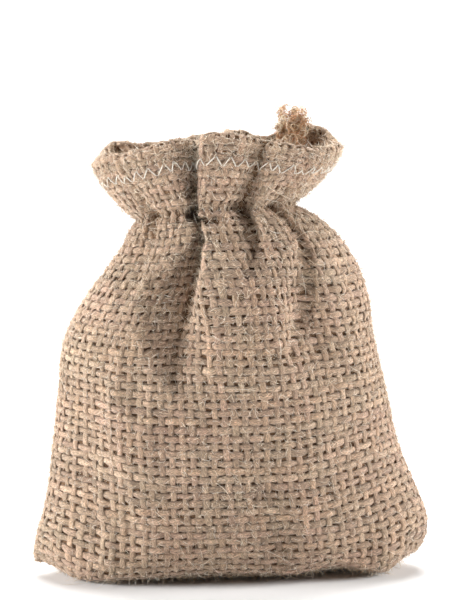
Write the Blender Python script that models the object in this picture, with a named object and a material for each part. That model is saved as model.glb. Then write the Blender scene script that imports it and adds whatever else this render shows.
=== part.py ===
"""A small burlap sack: jute cloth sewn to a bag, filled to a soft belly and gathered at the neck.

Sizes are in millimetres until a mesh is made. +Z is up, X runs from side seam to side seam,
the front faces -Y and the floor is z = 0.
"""

import math
from collections import namedtuple

import bpy
import numpy as np

MM = 0.001

# ---- driving sizes ----
CLOTH = 1.2  # thickness of the woven cloth
HEM = 8.0  # depth of the turned hem at the mouth
HEM_CLOTH = 2.0  # its two layers
NECK_AT = 109.0  # cloth from the bottom seam up to the gathered neck
HEADING = 18.8  # cloth from the neck up to the rim
FLARE = 1.3  # above 1 the heading leans out at the neck and then stands up, like a bowl
STOOP = 2.0  # the gathered neck leans back: its front stands this much higher and its back lower
STOOP_FROM = 78.0  # cloth from the bottom seam up to where that begins
TUCK = 0.7  # the gathers are drawn in by this much
TUCK_REACH = 2.4  # over this much cloth below and above the neck
STANDING = 6.0  # height over which the flat bottom turns up into the sides
COLUMNS = 80  # mesh columns once round
RING_POINTS = 1600  # points of an outline before the columns are placed on it

# ---- the sack from the bottom seam to the neck ----
# cloth: distance along the cloth from the bottom seam.  mid_z, side_z: height at front and back, and
# at the two sides.  level: share of the half width that lies at mid_z.  tilt: rise of the right side
# and drop of the left.  half_width, half_depth: half sizes along X and Y.  mid_x, mid_y: the middle.
# round_x, round_y: exponents of the outline, where 2 and 2 make an ellipse.
Section = namedtuple(
    "Section", "cloth mid_z side_z level tilt half_width half_depth mid_x mid_y round_x round_y"
)
SECTIONS = (
    Section(0.0, 0.0, 2.2, 0.80, -0.7, 45.6, 0.0, -3.4, 0.0, 4.0, 2.0),
    Section(6.0, 0.0, 4.2, 0.78, -0.7, 48.2, 6.0, -1.4, -0.3, 3.8, 2.0),
    Section(11.0, 0.0, 7.5, 0.74, -0.6, 49.0, 11.0, -0.2, -0.6, 3.4, 2.0),
    Section(15.0, 1.3, 10.8, 0.66, -0.3, 49.0, 14.4, 0.4, -0.9, 3.0, 2.0),
    Section(19.0, 4.6, 14.4, 0.56, 0.0, 48.3, 16.4, 0.7, -1.1, 2.7, 2.0),
    Section(25.0, 10.4, 19.6, 0.44, 0.0, 46.7, 18.0, 0.3, -1.2, 2.5, 1.9),
    Section(40.0, 25.3, 32.0, 0.32, 0.0, 43.3, 20.6, -1.4, -1.2, 2.4, 1.9),
    Section(57.0, 42.2, 46.0, 0.22, 0.0, 40.9, 22.0, -2.2, -0.9, 2.3, 1.95),
    Section(75.0, 60.0, 61.0, 0.12, 0.0, 38.0, 22.8, -2.8, -0.5, 2.2, 2.0),
    Section(85.0, 69.7, 69.5, 0.10, 0.2, 35.2, 22.2, -1.2, -0.3, 2.1, 2.0),
    Section(95.0, 79.3, 78.5, 0.10, 0.7, 30.2, 19.4, 0.1, 0.0, 2.0, 2.0),
    Section(102.0, 85.5, 84.7, 0.10, 1.3, 25.7, 16.2, -0.6, 0.0, 2.0, 2.0),
    Section(106.0, 88.7, 88.0, 0.10, 1.6, 22.9, 14.0, -2.2, 0.0, 2.0, 2.0),
    Section(NECK_AT, 90.9, 90.3, 0.10, 1.9, 20.2, 12.4, -3.8, 0.0, 2.0, 2.0),
)
RIM = Section(NECK_AT + HEADING, 0.0, 0.0, 0.0, 0.0, 31.2, 14.2, -3.5, 0.0, 2.2, 2.0)

# ---- the gathers ----
# warp: where the fold's valley lies on the cloth, as a share of the way round from the left side
# through the front (0.25), the right side (0.5) and the back (0.75).  rim, neck, end: where it then
# stands, as a share of the outline at the rim, at the neck and where the fold dies out.  rim_depth,
# neck_depth: how far it goes in.  pinch: how far its two lips close over it.  left, right: slopes of
# its two walls at the neck in degrees, seen from outside.  reach: how far below the neck it dies out,
# with walls sloping at end_left and end_right.
Fold = namedtuple(
    "Fold", "warp rim neck end rim_depth neck_depth pinch left right reach end_left end_right"
)
FOLDS = (
    Fold(0.075, 0.080, 0.085, 0.095, 0.5, 2.6, 0.2, 60, 60, 26.0, 12, 12),
    Fold(0.205, 0.208, 0.184, 0.186, 7.4, 8.3, 1.2, 84, 84, 46.0, 30, 18),
    Fold(0.325, 0.326, 0.315, 0.262, 2.2, 4.9, 0.5, 46, 72, 18.0, 20, 26),
    Fold(0.395, 0.400, 0.382, 0.322, 0.4, 1.7, 0.2, 40, 40, 42.0, 14, 12),
    Fold(0.580, 0.590, 0.588, 0.590, 2.5, 3.8, 0.4, 66, 60, 26.0, 12, 10),
    Fold(0.695, 0.712, 0.708, 0.700, 5.0, 5.6, 0.6, 72, 78, 46.0, 14, 30),
    Fold(0.790, 0.800, 0.790, 0.780, 2.2, 3.6, 0.3, 58, 64, 32.0, 10, 12),
    Fold(0.905, 0.910, 0.900, 0.890, 1.8, 3.0, 0.3, 64, 58, 38.0, 14, 10),
)
FALL = 2.1  # above 1, a fold keeps its depth below the neck and then dies out sooner
LEFT_OPENS, RIGHT_OPENS, OPENS_OVER = 0.0, 0.34, 0.50  # shares of its reach over which its walls lean back
SHOULDER = 1.8  # radius where the cloth turns into a fold
RIM_LEFT = 0.6  # slope of a fold's left wall at the rim, as a share of its slope at the neck
VALLEY = 0.9  # radius at the bottom of a fold
LIP = 3.0  # distance from the valley at which its lips close most

# ---- slack places in the filled cloth ----
# round: share of the way round.  cloth: distance up the cloth.  breadth: half size round, as a share
# of the way round.  height: half size up the cloth.  depth: how far in it goes, or out where negative.
Dent = namedtuple("Dent", "round cloth breadth height depth")
DENTS = (
    Dent(0.130, 52.0, 0.055, 44.0, -1.4),
    Dent(0.075, 42.0, 0.045, 30.0, 1.0),
    Dent(0.290, 32.0, 0.040, 26.0, 0.8),
    Dent(0.385, 16.0, 0.045, 12.0, 1.6),
    Dent(0.368, 82.0, 0.050, 24.0, 2.2),
    Dent(0.430, 70.0, 0.050, 26.0, -0.8),
    Dent(0.640, 18.0, 0.060, 13.0, 1.6),
    Dent(0.870, 18.0, 0.060, 12.0, 1.8),
    Dent(0.760, 55.0, 0.100, 26.0, -1.6),
    Dent(0.600, 66.0, 0.060, 22.0, 1.8),
)

# ---- how the rim stands ----
# round: share of the way round.  breadth: half size round.  up: how much higher the rim stands than
# the warps alone would carry it.  out: how much further out it leans.
Crest = namedtuple("Crest", "round breadth up out")
CRESTS = (
    Crest(0.000, 0.080, -0.8, -0.4),
    Crest(0.110, 0.060, -2.2, 0.8),
    Crest(0.180, 0.060, -1.0, 0.4),
    Crest(0.300, 0.045, -0.8, 0.0),
    Crest(0.375, 0.075, -2.2, 1.2),
    Crest(0.440, 0.050, -2.0, 1.0),
    Crest(0.505, 0.040, -0.8, 0.0),
    Crest(0.572, 0.075, 3.9, 0.7),
    Crest(0.700, 0.050, 1.0, 0.0),
    Crest(0.820, 0.070, -0.8, 0.0),
    Crest(0.925, 0.060, 2.4, 0.6),
)

# ---- places where the bottom stands off the floor ----
# x: where it is, on the front.  breadth: half size along X.  height: rise of the cloth.
# begins: cloth from the bottom seam up to where it begins.
Arch = namedtuple("Arch", "x breadth height begins")
ARCHES = (Arch(25.5, 14.0, 2.5, 3.0),)
ARCH_TO = 12.5  # cloth from the bottom seam up to where an arch has its whole height
ARCH_END = 34.0  # and to where it has died out

# ---- what the sack stands on ----
# The bottom lies flat along its seam. Round that it is lifted, but for a few pads.
# x: the middle of a pad.  side: -1 at the front and 1 at the back.
Pad = namedtuple("Pad", "x side")
PADS = (Pad(-27.0, -1), Pad(8.0, -1), Pad(-27.0, 1), Pad(25.0, 1))
PAD_BREADTH = 3.0  # half size along X
LIFT = 0.35  # how far the rest is lifted
LIFT_FROM = 4.0  # cloth from the bottom seam up to where the lift begins
LIFT_TO = 8.0  # and to where it is whole
LIFT_END = 25.0  # and to where it has died out
FLAT_HALF = 22.0  # half length of the seam that lies flat

# ---- the frayed end of the seam ----
FRAY_ROUND = 0.598  # where it stands, as a share of the way round
FRAY_COLUMNS = 4  # mesh columns that its strip spans
FRAY_GAP = 0.3  # clearance to the hem that carries it
FRAY_THICK = 1.3
FRAY_BELOW = 5.0  # how far it reaches down inside the mouth
FRAY_ABOVE = 1.0  # and up above the rim
ROOTED = 1.0  # how deep the yarn ends are rooted in the strip
TAPER = 0.35  # share of its radius that a yarn end loses towards its tip
# along: where on the strip.  length: above its top.  radius: of the yarn.  lean_x, lean_y: of its tip.
YarnEnd = namedtuple("YarnEnd", "along length radius lean_x lean_y")
YARN_ENDS = (
    YarnEnd(0.06, 1.4, 0.55, 1.0, -0.6),
    YarnEnd(0.20, 2.6, 0.60, 0.6, 0.4),
    YarnEnd(0.36, 2.2, 0.55, -0.2, -0.8),
    YarnEnd(0.50, 3.2, 0.62, 0.2, 0.2),
    YarnEnd(0.64, 2.8, 0.55, -0.5, -0.6),
    YarnEnd(0.80, 2.4, 0.60, -0.7, 0.3),
    YarnEnd(0.94, 1.5, 0.55, -1.2, -0.4),
)

# ---- mesh rows, as distances up the cloth ----
ROWS_BOTTOM = (0, 4, 8, 11.5, 14, 16.5, 20, 25)
ROWS_BELLY = (31, 38, 45, 52, 59, 66, 72, 78, 83)
ROWS_SHOULDER = (88, 92.5, 97, 101, 104.5, 107)
ROWS_BELOW = ROWS_BOTTOM + ROWS_BELLY + ROWS_SHOULDER
ROWS_ABOVE = (0, 2, 4, 6.5, 9, HEADING - HEM, HEADING - 5.5, HEADING - 2.5, HEADING)


def eased(x):
    """0 below 0, 1 above 1 and a smooth step between."""
    x = np.clip(x, 0.0, 1.0)
    return x * x * (3.0 - 2.0 * x)


def bump(x):
    """1 at 0, falling smoothly to 0 at -1 and 1."""
    return np.cos(0.5 * math.pi * np.clip(x, -1.0, 1.0)) ** 2


def length_along(x, y):
    """Length along a line of points, at each of them."""
    return np.concatenate([[0.0], np.cumsum(np.hypot(np.diff(x), np.diff(y)))])


def section_at(cloth):
    """The section at a distance up the cloth, on smooth curves through the table's rows."""
    table = np.array(SECTIONS, float)
    at = table[:, 0]
    k = int(np.clip(np.searchsorted(at, cloth, side="right") - 1, 0, len(at) - 2))
    slopes = np.gradient(table, at, axis=0)
    gap = at[k + 1] - at[k]
    t = (cloth - at[k]) / gap
    start = (1.0 + 2.0 * t) * (1.0 - t) ** 2
    end = t * t * (3.0 - 2.0 * t)
    leave = t * (1.0 - t) ** 2 * gap
    arrive = -t * t * (1.0 - t) * gap
    row = start * table[k] + end * table[k + 1] + leave * slopes[k] + arrive * slopes[k + 1]
    row = Section(*row)
    return row._replace(mid_z=max(row.mid_z, 0.0), half_depth=max(row.half_depth, 0.0))


# A fold at one level. warp: its valley on the cloth.  place: on the outline.  hold: how far the cloth
# keeps to it, from 0 to 1.  left, right: slopes of its walls in radians.
Pleat = namedtuple("Pleat", "warp place hold depth pinch left right")


def wall(away, depth, slope):
    """Depth of a fold at a distance from its valley: a round valley, a straight wall, a round shoulder."""
    full = (SHOULDER + VALLEY) * (1.0 - math.cos(slope))
    straight = 0.0
    if depth < full:
        slope = math.acos(1.0 - depth / (SHOULDER + VALLEY))
    else:
        straight = (depth - full) / math.sin(slope)
    low = VALLEY * math.sin(slope)
    high = low + straight * math.cos(slope)
    edge = high + SHOULDER * math.sin(slope)
    away = np.abs(away)
    valley = depth - VALLEY + np.sqrt(np.maximum(VALLEY**2 - away**2, 0.0))
    middle = depth - VALLEY * (1.0 - math.cos(slope)) - (away - low) * math.tan(slope)
    shoulder = SHOULDER - np.sqrt(np.maximum(SHOULDER**2 - np.maximum(edge - away, 0.0) ** 2, 0.0))
    return np.where(away < low, valley, np.where(away < high, middle, shoulder))


def outline(section, pleats):
    """Points of cloth round the sack at one level, evenly spaced between its folds' valleys."""
    t = np.linspace(math.pi, 3.0 * math.pi, RING_POINTS + 1)
    c, s = np.cos(t), np.sin(t)
    x = section.half_width * np.sign(c) * np.abs(c) ** (2.0 / section.round_x)
    y = section.half_depth * np.sign(s) * np.abs(s) ** (2.0 / section.round_y)
    run = length_along(x, y)
    girth = run[-1]
    dx, dy = np.gradient(x), np.gradient(y)
    size = np.maximum(np.hypot(dx, dy), 1e-9)
    depth = np.zeros_like(run)
    slide = np.zeros_like(run)
    for pleat in pleats:
        away = ((run / girth - pleat.place + 0.5) % 1.0 - 0.5) * girth
        left, right = wall(away, pleat.depth, pleat.left), wall(away, pleat.depth, pleat.right)
        depth += np.where(away < 0.0, left, right)
        lip = away / LIP
        slide -= pleat.pinch * lip * np.exp(0.5 - 0.5 * lip**2)
    x = x + (dx * slide - dy * depth) / size + section.mid_x
    y = y + (dy * slide + dx * depth) / size + section.mid_y
    share = run / girth
    run = length_along(x, y)
    half = RING_POINTS // 2
    marks = [(0.0, 0.0), (run[half], 0.5), (run[-1], 1.0)]
    for pleat in pleats:
        at = np.interp(pleat.place, share, run)
        if pleat.place < 0.5:
            free = 0.5 * at / run[half]
        else:
            free = 0.5 + 0.5 * (at - run[half]) / (run[-1] - run[half])
        marks.append((at, free + (pleat.warp - free) * pleat.hold))
    marks = np.array(sorted(marks))
    columns = np.interp(np.arange(COLUMNS) / COLUMNS, marks[:, 1], marks[:, 0])
    return np.stack([np.interp(columns, run, x), np.interp(columns, run, y)], axis=1)


def below_neck(cloth):
    """One ring of the sack between the bottom seam and the neck."""
    section = section_at(cloth)
    pleats = []
    for fold in FOLDS:
        down = min((NECK_AT - cloth) / fold.reach, 1.0)
        hold = 1.0 - float(eased(down))
        place = fold.end + (fold.neck - fold.end) * (1.0 - down)
        left = fold.left + (fold.end_left - fold.left) * float(eased((down - LEFT_OPENS) / OPENS_OVER))
        right = fold.right + (fold.end_right - fold.right) * float(eased((down - RIGHT_OPENS) / OPENS_OVER))
        left, right = math.radians(left), math.radians(right)
        depth = fold.neck_depth * (1.0 - down**FALL)
        pleats.append(Pleat(fold.warp, place, hold, depth, fold.pinch * hold, left, right))
    xy = outline(section, pleats)
    across = (xy[:, 0] - section.mid_x) / section.half_width
    aside = eased((np.abs(across) - section.level) / (1.0 - section.level))
    z = section.mid_z + (section.side_z - section.mid_z) * aside + section.tilt * across * aside
    stoop = STOOP * float(eased((cloth - STOOP_FROM) / (NECK_AT - STOOP_FROM)))
    z -= stoop * (xy[:, 1] - section.mid_y) / max(section.half_depth, 1.0)
    return np.column_stack([xy, z])


def heading(neck):
    """The rings above the neck. All warps are as long there, so one that leans out ends lower."""
    pleats = []
    for fold in FOLDS:
        left, right = math.radians(RIM_LEFT * fold.left), math.radians(fold.right)
        pleats.append(Pleat(fold.warp, fold.rim, 1.0, fold.rim_depth, fold.pinch, left, right))
    lean = outline(RIM, pleats) - neck[:, :2]
    steps = np.linspace(0.0, 1.0, 40)
    shares = 1.0 - (1.0 - steps) ** FLARE
    piece = HEADING / (len(steps) - 1)
    ahead = np.outer(np.diff(shares), np.linalg.norm(lean, axis=1))
    climbs = np.sqrt(np.maximum(piece**2 - ahead**2, (0.3 * piece) ** 2))
    heights = np.concatenate([np.zeros((1, COLUMNS)), np.cumsum(climbs, axis=0)])
    rings = []
    for above in ROWS_ABOVE:
        at = above / HEADING
        xy = neck[:, :2] + lean * (1.0 - (1.0 - at) ** FLARE)
        climb = np.array([np.interp(at, steps, heights[:, i]) for i in range(COLUMNS)])
        rings.append(np.column_stack([xy, neck[:, 2] + climb]))
    return rings


def sack_grid():
    """Points of the outer face: a row for each ring from the bottom seam to the rim."""
    rings = [below_neck(cloth) for cloth in ROWS_BELOW]
    rings += heading(below_neck(NECK_AT))
    grid = np.array(rings)
    cloth = np.array(list(ROWS_BELOW) + [NECK_AT + above for above in ROWS_ABOVE])
    stations = np.arange(COLUMNS) / COLUMNS
    push = np.zeros(grid.shape[:2])
    for dent in DENTS:
        away = (stations - dent.round + 0.5) % 1.0 - 0.5
        share = np.outer(bump((cloth - dent.cloth) / dent.height), bump(away / dent.breadth))
        push += dent.depth * share
    push += TUCK * bump((cloth - NECK_AT) / TUCK_REACH)[:, None]
    above = np.clip((cloth - NECK_AT) / HEADING, 0.0, 1.0) ** 1.5
    for crest in CRESTS:
        away = (stations - crest.round + 0.5) % 1.0 - 0.5
        share = np.outer(above, bump(away / crest.breadth))
        grid[:, :, 2] += crest.up * share
        push -= crest.out * share
    across = np.roll(grid, -1, axis=1) - np.roll(grid, 1, axis=1)
    inward = np.stack([-across[:, :, 1], across[:, :, 0]], axis=2)
    inward /= np.maximum(np.linalg.norm(inward, axis=2, keepdims=True), 1e-9)
    standing = eased(grid[:, :, 2] / STANDING)
    front = (stations > 0.02) & (stations < 0.48)
    for arch in ARCHES:
        swell = eased((cloth - arch.begins) / (ARCH_TO - arch.begins))
        swell *= eased((ARCH_END - cloth) / (ARCH_END - ARCH_TO))
        share = swell[:, None] * bump((grid[:, :, 0] - arch.x) / arch.breadth)
        grid[:, :, 2] += arch.height * share * front
    lifted = np.maximum(
        eased((cloth[:, None] - LIFT_FROM) / (LIFT_TO - LIFT_FROM)),
        eased((np.abs(grid[:, :, 0]) - FLAT_HALF) / PAD_BREADTH),
    )
    lifted *= eased((LIFT_END - cloth) / (LIFT_END - LIFT_TO))[:, None]
    beside = ((cloth > LIFT_FROM) & (cloth <= LIFT_TO))[:, None]
    for pad in PADS:
        on_side = beside & (grid[:, :, 1] * pad.side > 0.0)
        lifted[on_side & (np.abs(grid[:, :, 0] - pad.x) < PAD_BREADTH)] = 0.0
    grid[:, :, 2] += LIFT * lifted
    grid[:, :, :2] += inward * (push * standing)[:, :, None]
    low, high = grid.min(axis=(0, 1)), grid.max(axis=(0, 1))
    grid[:, :, :2] -= 0.5 * (low + high)[:2]
    return grid


def material(name, colour, roughness):
    made = bpy.data.materials.new(name)
    made.use_nodes = True
    shader = made.node_tree.nodes["Principled BSDF"]
    shader.inputs["Base Color"].default_value = (*colour, 1.0)
    shader.inputs["Roughness"].default_value = roughness
    shader.inputs["Metallic"].default_value = 0.0
    return made


def place(name, mesh, look):
    mesh.materials.append(look)
    mesh.shade_smooth()
    made = bpy.data.objects.new(name, mesh)
    bpy.context.scene.collection.objects.link(made)
    return made


def sack(grid):
    """The cloth: its outer face as one skin, given its thickness inwards and more at the hem."""
    rows = len(grid)
    half = COLUMNS // 2
    points = [tuple(point * MM) for point in grid[0, : half + 1]]
    first = [min(i, COLUMNS - i) for i in range(COLUMNS)]
    index = [first]
    for r in range(1, rows):
        index.append([len(points) + i for i in range(COLUMNS)])
        points += [tuple(point * MM) for point in grid[r]]
    faces = []
    for r in range(rows - 1):
        for i in range(COLUMNS):
            j = (i + 1) % COLUMNS
            faces.append((index[r][i], index[r][j], index[r + 1][j], index[r + 1][i]))
    mesh = bpy.data.meshes.new("sack")
    mesh.from_pydata(points, [], faces)
    made = place("sack", mesh, material("jute", (0.46, 0.32, 0.20), 0.92))
    layers = made.vertex_groups.new(name="layers")
    single = CLOTH / HEM_CLOTH
    hem_from = len(ROWS_BELOW) + ROWS_ABOVE.index(HEADING - HEM)
    for r in range(rows):
        layers.add(index[r], 1.0 if r >= hem_from else single, "REPLACE")
    shell = made.modifiers.new("cloth", "SOLIDIFY")
    shell.thickness = HEM_CLOTH * MM
    shell.offset = -1.0
    shell.use_even_offset = False
    shell.vertex_group = "layers"
    return made


def tube(name, path, radii, sides):
    """A closed tapering tube along a path."""
    points, faces = [], []
    for k, middle in enumerate(path):
        ahead = path[min(k + 1, len(path) - 1)] - path[max(k - 1, 0)]
        ahead /= np.linalg.norm(ahead)
        side = np.cross(ahead, (0.3, 0.9, 0.1))
        side /= np.linalg.norm(side)
        other = np.cross(ahead, side)
        for i in range(sides):
            turn = 2.0 * math.pi * i / sides
            spoke = math.cos(turn) * side + math.sin(turn) * other
            points.append(tuple((middle + radii[k] * spoke) * MM))
    for k in range(len(path) - 1):
        for i in range(sides):
            j = (i + 1) % sides
            low, high = k * sides, (k + 1) * sides
            faces.append((low + i, low + j, high + j, high + i))
    faces.append(tuple(reversed(range(sides))))
    faces.append(tuple(range((len(path) - 1) * sides, len(path) * sides)))
    mesh = bpy.data.meshes.new(name)
    mesh.from_pydata(points, [], faces)
    return mesh


def fray(grid):
    """The frayed end of the seam: a narrow strip inside the back of the mouth, with yarn ends on it."""
    across = np.roll(grid, -1, axis=1) - np.roll(grid, 1, axis=1)
    rim, low = grid[-1], grid[-3]
    first = round(FRAY_ROUND * COLUMNS) - 1
    columns = range(first, first + FRAY_COLUMNS)
    points, faces = [], []
    tops, ups = [], []
    for i in columns:
        up = rim[i] - low[i]
        up /= np.linalg.norm(up)
        inward = np.cross(up, across[-1][i])
        inward /= np.linalg.norm(inward)
        for depth in (HEM_CLOTH + FRAY_GAP, HEM_CLOTH + FRAY_GAP + FRAY_THICK):
            for rise in (-FRAY_BELOW, FRAY_ABOVE):
                points.append(tuple((rim[i] + inward * depth + up * rise) * MM))
        tops.append(rim[i] + inward * (HEM_CLOTH + FRAY_GAP + 0.5 * FRAY_THICK) + up * FRAY_ABOVE)
        ups.append(up)
    for k in range(FRAY_COLUMNS - 1):
        a, b = 4 * k, 4 * k + 4
        faces += [(a, a + 1, b + 1, b), (a + 2, b + 2, b + 3, a + 3)]
        faces += [(a, b, b + 2, a + 2), (a + 1, a + 3, b + 3, b + 1)]
    last = 4 * (FRAY_COLUMNS - 1)
    faces += [(0, 2, 3, 1), (last, last + 1, last + 3, last + 2)]
    mesh = bpy.data.meshes.new("seam_fray")
    mesh.from_pydata(points, [], faces)
    look = material("frayed_jute", (0.45, 0.25, 0.12), 0.95)
    strip = place("seam_fray", mesh, look)
    ends = bpy.data.collections.new("yarn_ends")
    bpy.context.scene.collection.children.link(ends)
    for end in YARN_ENDS:
        at = end.along * (FRAY_COLUMNS - 1)
        k = min(int(at), FRAY_COLUMNS - 2)
        base = tops[k] + (tops[k + 1] - tops[k]) * (at - k) - ups[k] * ROOTED
        steps = np.linspace(0.0, 1.0, 5)[:, None]
        lean = np.array((end.lean_x, end.lean_y, 0.0))
        path = base + ups[k] * (end.length + ROOTED) * steps + lean * steps**2
        radii = end.radius * (1.0 - TAPER * steps[:, 0])
        yarn = bpy.data.objects.new("yarn_end", tube("yarn_end", path, radii, 6))
        yarn.hide_render = True
        yarn.display_type = "WIRE"
        ends.objects.link(yarn)
    union = strip.modifiers.new("yarn_ends", "BOOLEAN")
    union.operation = "UNION"
    union.operand_type = "COLLECTION"
    union.collection = ends
    return strip


def main():
    for old in list(bpy.data.objects):
        bpy.data.objects.remove(old)
    grid = sack_grid()
    sack(grid)
    fray(grid)


main()
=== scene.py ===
"""The looks of the small burlap sack: its cloth is woven here yarn by yarn over the sack's surface.

Sizes are in millimetres until a mesh is made. +Z is up, X runs from side seam to side seam,
the front faces -Y and the floor is z = 0. The tables and the functions that shape the surface are
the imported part's, worked out here on a finer grid. The second and third folds and the second arch
differ from it by less than 2 mm, and the small creases are in this script alone.
"""

import math
from collections import namedtuple

import bpy
import numpy as np
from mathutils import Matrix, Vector

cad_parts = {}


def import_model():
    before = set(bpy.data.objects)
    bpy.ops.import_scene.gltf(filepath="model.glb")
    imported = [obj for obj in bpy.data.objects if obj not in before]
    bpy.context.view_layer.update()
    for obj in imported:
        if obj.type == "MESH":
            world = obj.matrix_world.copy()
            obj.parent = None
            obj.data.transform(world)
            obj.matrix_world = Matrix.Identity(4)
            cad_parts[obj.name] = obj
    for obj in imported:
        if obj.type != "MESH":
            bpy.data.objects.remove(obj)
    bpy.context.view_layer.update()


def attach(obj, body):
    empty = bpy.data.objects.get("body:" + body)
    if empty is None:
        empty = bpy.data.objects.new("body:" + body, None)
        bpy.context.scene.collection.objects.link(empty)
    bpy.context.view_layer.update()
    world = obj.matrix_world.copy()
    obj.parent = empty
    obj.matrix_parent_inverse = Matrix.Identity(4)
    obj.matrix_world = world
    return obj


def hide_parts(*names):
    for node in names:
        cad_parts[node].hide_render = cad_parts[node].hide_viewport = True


MM = 0.001

# ---- driving sizes ----
HEM = 8.0  # depth of the turned hem at the mouth
NECK_AT = 109.0  # cloth from the bottom seam up to the gathered neck
HEADING = 18.8  # cloth from the neck up to the rim
FLARE = 1.3  # above 1 the heading leans out at the neck and then stands up, like a bowl
LEAST_CLIMB = 0.3  # of its warps, however far they lean out, as a share of their length
STOOP = 2.0  # the gathered neck leans back: its front stands this much higher and its back lower
STOOP_FROM = 78.0  # cloth from the bottom seam up to where that begins
TUCK = 0.7  # the gathers are drawn in by this much
TUCK_REACH = 2.4  # over this much cloth below and above the neck
STANDING = 6.0  # height over which the flat bottom turns up into the sides
COLUMNS = 640  # columns of the fine surface once round
STATIONS = np.arange(COLUMNS) / COLUMNS  # and their places, as shares of the way round
RING_POINTS = 1600  # points of an outline before the columns are placed on it

# ---- the sack from the bottom seam to the neck ----
# cloth: distance along the cloth from the bottom seam.  mid_z, side_z: height at front and back, and
# at the two sides.  level: share of the half width that lies at mid_z.  tilt: rise of the right side
# and drop of the left.  half_width, half_depth: half sizes along X and Y.  mid_x, mid_y: the middle.
# round_x, round_y: exponents of the outline, where 2 and 2 make an ellipse.
Section = namedtuple(
    "Section", "cloth mid_z side_z level tilt half_width half_depth mid_x mid_y round_x round_y"
)
SECTIONS = (
    Section(0.0, 0.0, 2.2, 0.80, -0.7, 45.6, 0.0, -3.4, 0.0, 4.0, 2.0),
    Section(6.0, 0.0, 4.2, 0.78, -0.7, 48.2, 6.0, -1.4, -0.3, 3.8, 2.0),
    Section(11.0, 0.0, 7.5, 0.74, -0.6, 49.0, 11.0, -0.2, -0.6, 3.4, 2.0),
    Section(15.0, 1.3, 10.8, 0.66, -0.3, 49.0, 14.4, 0.4, -0.9, 3.0, 2.0),
    Section(19.0, 4.6, 14.4, 0.56, 0.0, 48.3, 16.4, 0.7, -1.1, 2.7, 2.0),
    Section(25.0, 10.4, 19.6, 0.44, 0.0, 46.7, 18.0, 0.3, -1.2, 2.5, 1.9),
    Section(40.0, 25.3, 32.0, 0.32, 0.0, 43.3, 20.6, -1.4, -1.2, 2.4, 1.9),
    Section(57.0, 42.2, 46.0, 0.22, 0.0, 40.9, 22.0, -2.2, -0.9, 2.3, 1.95),
    Section(75.0, 60.0, 61.0, 0.12, 0.0, 38.0, 22.8, -2.8, -0.5, 2.2, 2.0),
    Section(85.0, 69.7, 69.5, 0.10, 0.2, 35.2, 22.2, -1.2, -0.3, 2.1, 2.0),
    Section(95.0, 79.3, 78.5, 0.10, 0.7, 30.2, 19.4, 0.1, 0.0, 2.0, 2.0),
    Section(102.0, 85.5, 84.7, 0.10, 1.3, 25.7, 16.2, -0.6, 0.0, 2.0, 2.0),
    Section(106.0, 88.7, 88.0, 0.10, 1.6, 22.9, 14.0, -2.2, 0.0, 2.0, 2.0),
    Section(NECK_AT, 90.9, 90.3, 0.10, 1.9, 20.2, 12.4, -3.8, 0.0, 2.0, 2.0),
)
RIM = Section(NECK_AT + HEADING, 0.0, 0.0, 0.0, 0.0, 31.2, 14.2, -3.5, 0.0, 2.2, 2.0)

# ---- the gathers ----
# warp: where the fold's valley lies on the cloth, as a share of the way round from the left side
# through the front (0.25), the right side (0.5) and the back (0.75).  rim, neck, end: where it then
# stands, as a share of the outline at the rim, at the neck and where the fold dies out.  rim_depth,
# neck_depth: how far it goes in.  pinch: how far its two lips close over it.  left, right: slopes of
# its two walls at the neck in degrees, seen from outside.  reach: how far below the neck it dies out,
# with walls sloping at end_left and end_right.
Fold = namedtuple(
    "Fold", "warp rim neck end rim_depth neck_depth pinch left right reach end_left end_right"
)
FOLDS = (
    Fold(0.075, 0.080, 0.085, 0.095, 0.5, 2.6, 0.2, 60, 60, 26.0, 12, 12),
    Fold(0.205, 0.208, 0.184, 0.186, 7.4, 9.9, 1.2, 84, 84, 46.0, 30, 18),
    Fold(0.325, 0.322, 0.310, 0.262, 2.2, 4.3, 0.5, 40, 72, 18.0, 20, 26),
    Fold(0.395, 0.400, 0.382, 0.322, 0.4, 1.7, 0.2, 40, 40, 42.0, 14, 12),
    Fold(0.580, 0.590, 0.588, 0.590, 2.5, 3.8, 0.4, 66, 60, 26.0, 12, 10),
    Fold(0.695, 0.712, 0.708, 0.700, 5.0, 5.6, 0.6, 72, 78, 46.0, 14, 30),
    Fold(0.790, 0.800, 0.790, 0.780, 2.2, 3.6, 0.3, 58, 64, 32.0, 10, 12),
    Fold(0.905, 0.910, 0.900, 0.890, 1.8, 3.0, 0.3, 64, 58, 38.0, 14, 10),
)
FALL = 2.1  # above 1, a fold keeps its depth below the neck and then dies out sooner
OPENS_OVER, RIGHT_OPENS = 0.50, 0.34  # shares of its reach: over which its walls lean back, the right later
SHOULDER = 1.8  # radius where the cloth turns into a fold
RIM_LEFT = 0.6  # slope of a fold's left wall at the rim, as a share of its slope at the neck
VALLEY = 0.9  # radius at the bottom of a fold
LIP = 3.0  # distance from the valley at which its lips close most

# ---- slack places in the filled cloth ----
# round: share of the way round.  cloth: distance up the cloth.  breadth: half size round, as a share
# of the way round.  height: half size up the cloth.  depth: how far in it goes, or out where negative.
Dent = namedtuple("Dent", "round cloth breadth height depth")
DENTS = (
    Dent(0.130, 52.0, 0.055, 44.0, -1.4),
    Dent(0.075, 42.0, 0.045, 30.0, 1.0),
    Dent(0.290, 32.0, 0.040, 26.0, 0.8),
    Dent(0.385, 16.0, 0.045, 12.0, 1.6),
    Dent(0.368, 82.0, 0.050, 24.0, 2.2),
    Dent(0.430, 70.0, 0.050, 26.0, -0.8),
    Dent(0.640, 18.0, 0.060, 13.0, 1.6),
    Dent(0.870, 18.0, 0.060, 12.0, 1.8),
    Dent(0.760, 55.0, 0.100, 26.0, -1.6),
    Dent(0.600, 66.0, 0.060, 22.0, 1.8),
)

# ---- how the rim stands ----
CREST_LATE = 1.5  # above 1 most of the rise and the lean comes near the rim
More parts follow.
